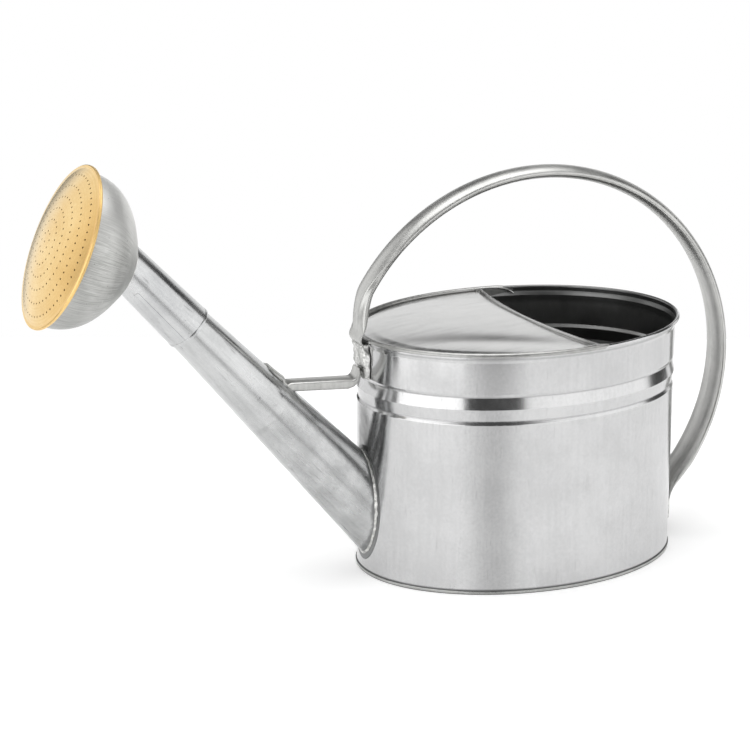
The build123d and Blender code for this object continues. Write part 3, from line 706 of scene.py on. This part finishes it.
def cover_height(x, y):
    """Height of the cover's upper face: a faint dome, with one shallow wave along the near side."""
    u, v = (x + 0.062) / 0.082, y / 0.101
    dome = 0.0020 * max(0.0, 1 - (u * u * 0.8 + v * v)) ** 1.3
    across = y + 0.046 + 0.30 * (x + 0.07) + 1.6 * (x + 0.07) ** 2
    crease = 0.00082 * math.exp(-(across / 0.0165) ** 2) * math.exp(-((x + 0.050) / 0.060) ** 2)
    ripple = 0.00006 * lumps(x * 30, y * 30, 3.1)
    inward = 1 - math.sqrt((x / 0.1396) ** 2 + (y / 0.1010) ** 2)
    dip = GUTTER * (1 - smoothstep(inward / 0.030))
    return COVER_Z + SHEET + (dome - crease + ripple) * smoothstep(inward * 9) - dip


def cover_sheet():
    a, b = BODY_A - 0.0003, BODY_B - 0.0003
    rows, columns = 150, 130
    top, bottom = [], []
    for i in range(rows + 1):
        y = b * math.sin(math.pi * (i / rows - 0.5)) * 0.9999
        reach = a * math.sqrt(max(0.0, 1 - (y / b) ** 2))
        right = min(edge_x(y) - 0.0002, reach)
        for j in range(columns + 1):
            x = lerp(-reach, right, 0.5 - 0.5 * math.cos(math.pi * j / columns))
            z = cover_height(x, y)
            top.append((x, y, z))
            bottom.append((x, y, z - SHEET))
    mesh = mesh_object("cover_sheet", top + bottom, slab_faces(rows, columns))
    sheet = tidy_mesh(mesh, merge=2e-5)
    split_creases(sheet, 40)
    dress(sheet, "can", "galvanised_cover", "cover")


def cover_grips():
    """The grip rolled over the rim, from horn to horn, leaving room for the handle's strap."""
    horn = math.acos(HORN_X / (BODY_A + 0.003))
    notch = math.asin(STRAP_GAP / (BODY_B + 0.003))
    steps = 150
    for side, start, end in (("near", -math.pi + notch, -horn), ("far", horn, math.pi - notch)):
        rings = []
        for i in range(steps + 1):
            turn = lerp(start, end, i / steps)
            close = smoothstep(min(i, steps - i) / 4.0)
            low = math.radians(lerp(30, -28, close))
            radius = lerp(GRIP_OUT - 0.0003, GRIP_OUT, close)
            radius += 0.00004 * lumps(turn * 30, 0, 1.7)
            arc = [lerp(math.radians(205), low, k / 18) for k in range(19)]
            outer = [(RIM_OUT + radius * math.cos(p), RIM_Z + radius * math.sin(p)) for p in arc]
            inner = [(RIM_OUT + GRIP_IN * math.cos(p), RIM_Z + GRIP_IN * math.sin(p))
                     for p in reversed(arc)]
            rings.append([on_oval(turn, out, z) for out, z in outer + inner])
        grip = split_creases(skin("cover_grip_" + side, rings), 50)
        dress(grip, "can", "steel_wire")


def cover_edge():
    """The turned-up free edge with its rolled hem."""
    profile = [(x * MM, z * MM) for x, z in (
        (2.6, 0.62), (1.4, 0.64), (0.95, 0.78), (0.72, 1.0), (0.70, 1.2), (0.98, 1.3), (1.30, 1.55),
        (1.42, 1.95), (1.36, 2.4), (1.05, 2.78), (0.6, 2.9), (0.15, 2.75), (-0.08, 2.35), (-0.05, 1.9),
        (0.0, 1.4), (0.02, 0.9), (0.2, 0.35), (0.6, 0.12), (1.2, 0.03), (2.6, 0.02))]
    far_turn, near_turn = (math.asin((y - EDGE_SIDE) / EDGE_R) for y in (FAR_END, NEAR_END))
    rings = []
    for i in range(161):
        turn = lerp(near_turn, far_turn, i / 160)
        c, v = math.cos(turn), math.sin(turn)
        wobble = 1 + 0.03 * lumps(turn * 60, 0, 9.4)
        lift = 0.0002 + cover_height(EDGE_CENTRE - EDGE_R * c, EDGE_SIDE + EDGE_R * v)
        lift = min(lift - SHEET, COVER_Z + 0.0003)
        rings.append([(EDGE_CENTRE - (EDGE_R + out) * c, EDGE_SIDE + (EDGE_R + out) * v, lift + z * wobble)
                      for out, z in profile])
    edge = split_creases(skin("cover_edge", rings), 60)
    dress(edge, "can", "galvanised_cover")


def cover_tongues():
    """The tongues at the corners of the opening, hanging just inside the wall, each with its hook."""
    for side, sign in (("far", 1), ("near", -1)):
        rings = []
        for i in range(41):
            share = i / 40
            x = lerp(edge_x(sign * FAR_END) - 0.004, TAB_X, share)
            turn = sign * math.acos(x / (BODY_A - 0.0012))
            low = lerp(TAB_LOW, 0.2032, share ** 1.4)
            high = lerp(0.2062, 0.2046, share)
            curl = 0.0011 * smoothstep((share - 0.75) / 0.25)
            rings.append([on_oval(turn, out - curl, z) for out, z in (
                (-0.0016, high), (-0.0010, high), (-0.0010, low), (-0.0013, low - 0.0002), (-0.0016, low))])
        tongue = split_creases(skin("cover_tongue_" + side, rings), 50)
        dress(tongue, "can", "galvanised_handle")
        rings = []
        for i in range((len(HOOK_PATH) - 1) * HOOK_STEPS + 1):
            k = min(i // HOOK_STEPS, len(HOOK_PATH) - 2)
            share = (i - HOOK_STEPS * k) / HOOK_STEPS
            x, inward, z, tall = (lerp(a, b, share) for a, b in zip(HOOK_PATH[k], HOOK_PATH[k + 1]))
            turn = sign * math.acos(x / (BODY_A - inward))
            rings.append([on_oval(turn, -inward + out * MM, z + up * tall / 2 * MM) for out, up in (
                (-0.35, -0.8), (-0.2, -1.0), (0.2, -1.0), (0.3, 0.8), (0.1, 1.0), (-0.25, 0.9))])
        hook = skin("cover_hook_" + side, rings)
        dress(hook, "can", "galvanised_cover")


# ---------------------------------------------------------------- handle
def hoop_point(angle):
    a = math.radians(angle)
    return Vector((HOOP_X + HOOP_A * math.cos(a), 0, HOOP_Z + HOOP_B * math.sin(a)))


def handle_stations():
    """(centre, width, thickness, flatness, seam opening) from the strap to the tail, in mm."""
    rows = []
    strap = [(-142.7, 172.0), (-142.7, 178.0), (-142.7, 186.0), (-142.7, 192.0), (-142.9, 195.2),
             (-143.6, 198.2), (-144.9, 201.0), (-146.4, 203.2), (-147.0, 205.2), (-146.7, 207.2),
             (-145.9, 209.2)]
    for x, z in strap:
        width = lerp(21.0, 26.0, smoothstep((z - 197.5) / 5.0))
        rows.append((Vector((x, 0, z)), width, 1.6, 1.0, 0.0))
    press = [(-144.5, 211.6, 4.2, 25.2), (-143.4, 214.5, 6.6, 24.4), (-142.8, 218.0, 8.2, 23.8),
             (-142.35, 222.0, 9.2, 23.3), (-141.8, 226.5, 9.9, 22.9), (-141.1, 231.0, 10.2, 22.7),
             (-140.15, 235.8, 10.4, 22.6), (-138.9, 240.3, 10.5, 22.5)]
    for x, z, thick, width in press:
        rows.append((Vector((x, 0, z)), width, thick, 0.0, 0.2))
    steps = 132
    for i in range(steps + 1):
        angle = lerp(150.0, -34.0, i / steps)
        share = min(max((60.0 - angle) / 94.0, 0.0), 1.0)
        opening = 0.35 + 0.65 * smoothstep((14.0 - angle) / 24.0) * smoothstep((angle + 33.0) / 12.0)
        rows.append((hoop_point(angle), lerp(22.5, 30.0, share), lerp(10.5, 12.5, share), 0.0, opening))
    tail = [(152.9, 49.8, 30.5, 11.4), (149.4, 45.6, 30.8, 9.6), (146.4, 41.0, 31.0, 7.2),
            (144.3, 36.0, 31.0, 5.2), (143.0, 30.0, 31.0, 3.8), (142.3, 23.5, 30.8, 3.0),
            (142.1, 17.0, 30.6, 2.8), (142.1, 12.8, 30.2, 2.6)]
    for x, z, width, thick in tail:
        rows.append((Vector((x, 0, z)), width, thick, 0.0, 0.1))
    return rows


SEAM_TURN = math.radians(97.0)    # the tube's edges meet along its narrow side
RING_POINTS = 60
SEAM_LIP = 0.075
CREASE_TOP, CREASE_FOOT = 286.0, 212.0      # a crease runs down the handle's front leg, heights in mm


def handle_ring(centre, out, width, thick, flat, opening, crease):
    """One section: its outer face bulges less, and to one side, where the tube is pressed flat."""
    turns = [2 * math.pi * i / RING_POINTS for i in range(RING_POINTS)]
    turns = [t for t in turns if abs(t - SEAM_TURN) > 2.2 * SEAM_LIP]
    turns += [SEAM_TURN + k * SEAM_LIP for k in (-2.0, -1.05, -0.55, -0.35, 0.35, 0.55, 1.05, 2.0)]
    ring = []
    for t in sorted(turns):
        u, face = math.sin(t), math.cos(t)
        plain = abs(face)
        if flat > 0:
            shift = 0.42 * flat
            half = max(0.05, 1 - 0.85 * flat)
            v = min(1.0, abs(u + shift * (1 if face > 0 else 0)) / (half + shift * 0.5))
            bulge = (1 - v * v) ** lerp(0.5, 1.25, flat)
            sheet = (1 - abs(u) ** 10) ** 0.5
            plain = lerp(plain, bulge * (1 - flat), smoothstep(flat * 3))
            height = max(plain * thick / 2, 0.0) + 0.8 * sheet * smoothstep(flat * 2)
            height = min(height, max(thick / 2, 0.8 * sheet))
        else:
            height = plain * thick / 2
        y = -u * width / 2
        gap = abs(t - SEAM_TURN) / SEAM_LIP
        sink = 0.0
        if opening > 0 and flat < 0.6:
            sink = opening * (0.95 if gap < 0.4 else (0.25 if gap < 0.6 else 0.0)) * (1 - flat)
            if 0.5 < (t - SEAM_TURN) / SEAM_LIP < 2.1:
                sink -= 0.16 * opening
        push = 0.0
        if crease is not None:
            where, size = crease
            ridge = 0.75 * math.exp(-((t - where) / 0.16) ** 2)
            hollow = 0.45 * math.exp(-((t - where - 0.42) / 0.30) ** 2)
            push = size * (ridge - hollow)
        height = math.copysign(height, face if abs(face) > 1e-9 else 1.0)
        across = y + (sink if u > 0 else -sink) - push * u
        ring.append(centre + out * (height + push * face) + Vector((0, across, 0)))
    return [p * MM for p in ring]


def hoop_handle():
    rows = handle_stations()
    rings = []
    for i, (centre, width, thick, flat, opening) in enumerate(rows):
        before, after = rows[max(i - 1, 0)][0], rows[min(i + 1, len(rows) - 1)][0]
        along = (after - before).normalized()
        out = Vector((-along.z, 0, along.x))
        dent = 1 + 0.012 * lumps(i * 0.11, 0, 4.4)
        crease = None
        if CREASE_FOOT < centre.z < CREASE_TOP and centre.x < 0:
            down = (CREASE_TOP - centre.z) / (CREASE_TOP - CREASE_FOOT)
            fade = smoothstep(down * 4) * smoothstep((1 - down) * 5)
            crease = (math.radians(lerp(104.0, 2.0, down)), fade)
        thick = thick / dent if flat < 0.5 else thick
        rings.append(handle_ring(centre, out, width * dent, thick, flat, opening, crease))
    handle = split_creases(skin("handle_tube", rings), 38)
    dress(handle, "can", "galvanised_handle", "handle")


# ---------------------------------------------------------------- solder
SPOUT_R, SPOUT_TAPER = 30.2, 0.0508         # the spout's radius at its root, and what it loses per mm
ROOT_WIDE, ROOT_LONG = 22.4, 124.0          # its narrower half width at the root, gone by this far along


def spout_point(s, turn, out=0.0):
    """On the spout's surface s mm along it; turn runs from the top towards -Y."""
    radius = SPOUT_R - SPOUT_TAPER * s
    wide = lerp(ROOT_WIDE, radius, min(max(s / ROOT_LONG, 0.0), 1.0))
    across = SPOUT_UP * (math.cos(turn) * (radius + out)) - Vector((0, math.sin(turn) * (wide + out), 0))
    return SPOUT_ROOT + (SPOUT_DIR * s + across) * MM


def oval_share(p):
    return (p.x / BODY_A) ** 2 + (p.y / BODY_B) ** 2


def wall_normal(p):
    return Vector((p.x / BODY_A ** 2, p.y / BODY_B ** 2, 0)).normalized()


def spout_solder():
    """A lumpy fillet where the spout meets the wall."""
    rings = []
    steps = 280
    for i in range(steps):
        turn = 2 * math.pi * i / steps
        low, high = -60.0, 90.0
        for _ in range(30):
            middle = (low + high) / 2
            if oval_share(spout_point(middle, turn)) < (1 + 0.0008 / BODY_A) ** 2:
                low = middle
            else:
                high = middle
        q = spout_point(low, turn)
        normal = wall_normal(q)
        away = (spout_point(low, turn, 1.0) - q).normalized()
        along = (away - normal * away.dot(normal)).normalized()
        lump = 1 + 0.6 * lumps(math.cos(turn) * 9, math.sin(turn) * 9, 2.2) \
            + 0.35 * lumps(math.cos(turn) * 26, math.sin(turn) * 26, 5.0)
        flank = math.exp(-((abs(math.pi - turn) - 1.75) / 0.45) ** 2)
        size = 0.62 + 0.60 * flank
        w, h = 1.35 * MM * lump * size, 0.95 * MM * (2 - lump) * size
        ring = [q + along * w - normal * 0.5 * MM, q + along * w * 0.93 + normal * 0.2 * MM,
                q + along * w * 0.72 + normal * h * 0.55, q + along * w * 0.42 + normal * h * 0.95,
                q + away * 0.5 * MM + SPOUT_DIR * h * 1.25,
                q + away * 0.25 * MM + SPOUT_DIR * (h + 1.0 * MM),
                q - away * 0.35 * MM + SPOUT_DIR * (h + 1.3 * MM), q - away * 0.5 * MM - normal * 0.5 * MM]
        rings.append(ring)
    ring = skin("spout_fillet", rings, closed_path=True)
    dress(ring, "can", "solder", "spout_solder")


SEAM_S = 136.0                              # how far along the spout its two cones meet


def seam_solder():
    """A low smear over the joint between the spout's two cones."""
    rings = []
    for i in range(220):
        turn = 2 * math.pi * i / 220
        lump = 1 + 0.5 * lumps(math.cos(turn) * 5, math.sin(turn) * 5, 7.7)
        ring = []
        for s, out in ((-7.5, -0.25), (-6.6, 0.0), (-3.0, 0.05), (0.0, 0.07),
                       (3.0, 0.03), (7.0, -0.10), (10.5, -0.16), (11.4, -0.45)):
            ring.append(spout_point(SEAM_S + s * (0.8 + 0.2 * lump), turn, out))
        rings.append(ring)
    ring = skin("spout_seam", rings, closed_path=True)
    dress(ring, "can", "galvanised_spout", "spout_seam_solder")


FLOOD_LOW, FLOOD_HIGH, FLOOD_HALF = 171.2, 201.5, 13.3      # the strap's solder, mm
STRAP_HALF, STRAP_THICK = 11.2, 1.55


def strap_solder():
    """Crumpled solder flooded over the strap and its edges."""
    columns, rows = 34, 46
    verts = []
    for layer in (1, 0):
        for i in range(rows + 1):
            z = lerp(FLOOD_LOW, FLOOD_HIGH, i / rows)
            half = FLOOD_HALF + 1.7 * lumps(z * 0.13, 0, 3.0) - 1.9 * smoothstep((z - 192) / 8)
            for j in range(columns + 1):
                y = lerp(-half, half, j / columns)
                p = on_oval(math.pi + math.asin(max(-1, min(1, y / 101.4))), 0.0, z * MM)
                beside = abs(y) - STRAP_HALF
                strap = STRAP_THICK if beside < 0 else max(0.0, STRAP_THICK - beside * 0.9)
                lean = 0.0 if z < 193 else (z - 193) ** 1.25 * 0.155
                lean += 1.2 * smoothstep((z - 180) / 4) if beside < 0 else 0.0
                fade = smoothstep((half - abs(y)) / 1.4)
                fade *= smoothstep((z - FLOOD_LOW) / 1.6)
                fade *= smoothstep((FLOOD_HIGH - z) / 1.2)
                crumple = 0.55 + 0.75 * lumps(y * 0.34, z * 0.26, 1.0) + 0.45 * lumps(y * 0.9, z * 0.8, 4.0)
                rise = 1.9 + strap + lean + max(crumple, 0.05) * 0.8
                out = lerp(0.9, rise, fade) if layer else 0.7
                verts.append(p + Vector((-out * MM, 0, 0)))
    flood = tidy_mesh(mesh_object("strap_solder", verts, slab_faces(rows, columns)))
    dress(flood, "can", "solder", "handle_front_solder")


# ---------------------------------------------------------------- brace
FOLD_R = 24.0                               # the brace's end is bent to the spout at this radius


def brace_strip():
    """A folded strip from the spout to the front of the body, its ends beaten flat."""
    foot = SPOUT_ROOT / MM + SPOUT_DIR * 150.0 + SPOUT_UP * 23.9
    # centre, width, thickness, how far the strip wraps round the spout
    rows = [
        (foot, 11.0, 1.2, 1.0), (foot - SPOUT_DIR * 1.5, 15.0, 1.6, 1.0),
        (foot - SPOUT_DIR * 5.0, 18.0, 2.0, 1.0),
        (foot - SPOUT_DIR * 10.0 + SPOUT_UP * 0.4, 19.0, 2.2, 0.95),
        (foot - SPOUT_DIR * 16.0 + SPOUT_UP * 0.9, 18.0, 2.8, 0.7)]
    start, end = Vector((-211.0, 0, 171.6)), Vector((-155.5, 0, 168.0))
    for k in range(5):
        t = k / 4
        centre = start.lerp(start + Vector((5.0, 0, -0.4)), t) + Vector((0, 0, 0.9 * (1 - t) ** 2))
        rows.append((centre, lerp(17.4, 16.0, t), lerp(4.2, 8.2, t), lerp(0.45, 0.0, t)))
    for k in range(1, 15):
        t = k / 14
        centre = Vector((-206.0, 0, 171.2)).lerp(end, t)
        rows.append((centre, lerp(16.0, 16.4, t), lerp(8.2, 8.8, t), 0.0))
    rows += [(Vector((-151.5, 0, 168.6)), 16.6, 7.2, 0.0), (Vector((-148.8, 0, 170.3)), 16.8, 5.0, 0.0),
             (Vector((-147.0, 0, 173.2)), 16.8, 2.8, 0.0), (Vector((-146.3, 0, 176.0)), 16.4, 2.1, 0.0),
             (Vector((-146.0, 0, 178.6)), 15.2, 1.6, 0.0), (Vector((-145.9, 0, 180.4)), 13.0, 1.0, 0.0)]
    rings = []
    for i, (centre, width, thick, wrap) in enumerate(rows):
        before, after = rows[max(i - 1, 0)][0], rows[min(i + 1, len(rows) - 1)][0]
        along = (after - before).normalized()
        up = Vector((-along.z, 0, along.x))
        ring = []
        for k in range(40):
            t = 2 * math.pi * k / 40
            c, v = math.cos(t), math.sin(t)
            y = math.copysign(abs(v) ** 0.45, v) * width / 2
            h = math.copysign(abs(c) ** 0.5, c) * thick / 2
            groove = 0.0
            if c > 0.2 and thick > 3:
                groove = 0.32 * math.exp(-((abs(y) - width * 0.30) / 0.9) ** 2)
            fold = wrap * (FOLD_R - math.sqrt(FOLD_R ** 2 - y * y))
            ring.append((centre + up * (h - groove - fold) + Vector((0, y, 0))) * MM)
        rings.append(ring)
    dress(split_creases(skin("brace_strip", rings), 45), "can", "galvanised_handle", "brace")


# ---------------------------------------------------------------- rose
LIP_R, LIP_H, LIP_THICK, LIP_TALL = 65.55, -0.35, 1.62, 1.30    # the face's rolled edge, mm
SOCKET_R, SOCKET_TAPER, SOCKET_FOOT = 20.1, 0.03, 222.5         # the socket's radius, taper and mouth


def ring_about(axis, centre, profile, steps):
    """Turns a closed profile of (radius, height) about an axis, mm."""
    x = axis.cross(Vector((0, 1, 0))).normalized()
    y = axis.cross(x)
    rings = []
    for i in range(steps):
        t = 2 * math.pi * i / steps
        out = x * math.cos(t) + y * math.sin(t)
        rings.append([centre + (out * r + axis * h) * MM for r, h in profile])
    return rings


def face_lip():
    """The brass face's edge rolled round the bowl."""
    profile = [(LIP_R + LIP_THICK * math.cos(t), LIP_H + LIP_TALL * math.sin(t)) for t in full_turn(16)]
    lip = skin("face_lip", ring_about(FACE_DIR, FACE_CENTRE, profile, 300), closed_path=True)
    dress(lip, "rose", "brass_face")


def socket_hem():
    """The turned lip at the socket's mouth, sliding on the spout."""
    profile = [
        (19.03, 222.6), (19.4, 222.4), (20.0, 222.4), (20.28, 222.5), (20.36, 222.8), (20.34, 223.8),
        (20.24, 224.7), (20.1, 225.08), (19.03, 225.08)]
    hem = skin("socket_lip", ring_about(SPOUT_DIR, SPOUT_ROOT, profile, 200), closed_path=True)
    dress(split_creases(hem, 50), "rose_slip", "galvanised_rose", "rose_socket_hem")


def socket_seam():
    """The lap of the rose's socket, down its near lower side."""
    rings = []
    for i in range(60):
        s = lerp(225.8, 281.0, i / 59)
        radius = SOCKET_R - SOCKET_TAPER * (s - SOCKET_FOOT) + 0.02
        ring = []
        for angle, out in ((118.0, -0.2), (118.3, 0.30), (119.2, 0.42), (126.0, 0.34), (133.0, 0.16),
                           (136.0, -0.2)):
            t = math.radians(angle + 0.5 * lumps(s * 0.2, 0, 1.0))
            across = SPOUT_UP * math.cos(t) - Vector((0, math.sin(t), 0))
            ring.append(SPOUT_ROOT + (SPOUT_DIR * s + across * (radius + out)) * MM)
        rings.append(ring)
    dress(split_creases(skin("socket_lap", rings), 50), "rose", "galvanised_rose")


base_pan()
cover_sheet()
cover_grips()
cover_edge()
cover_tongues()
hoop_handle()
spout_solder()
seam_solder()
strap_solder()
brace_strip()
face_lip()
socket_hem()
socket_seam()
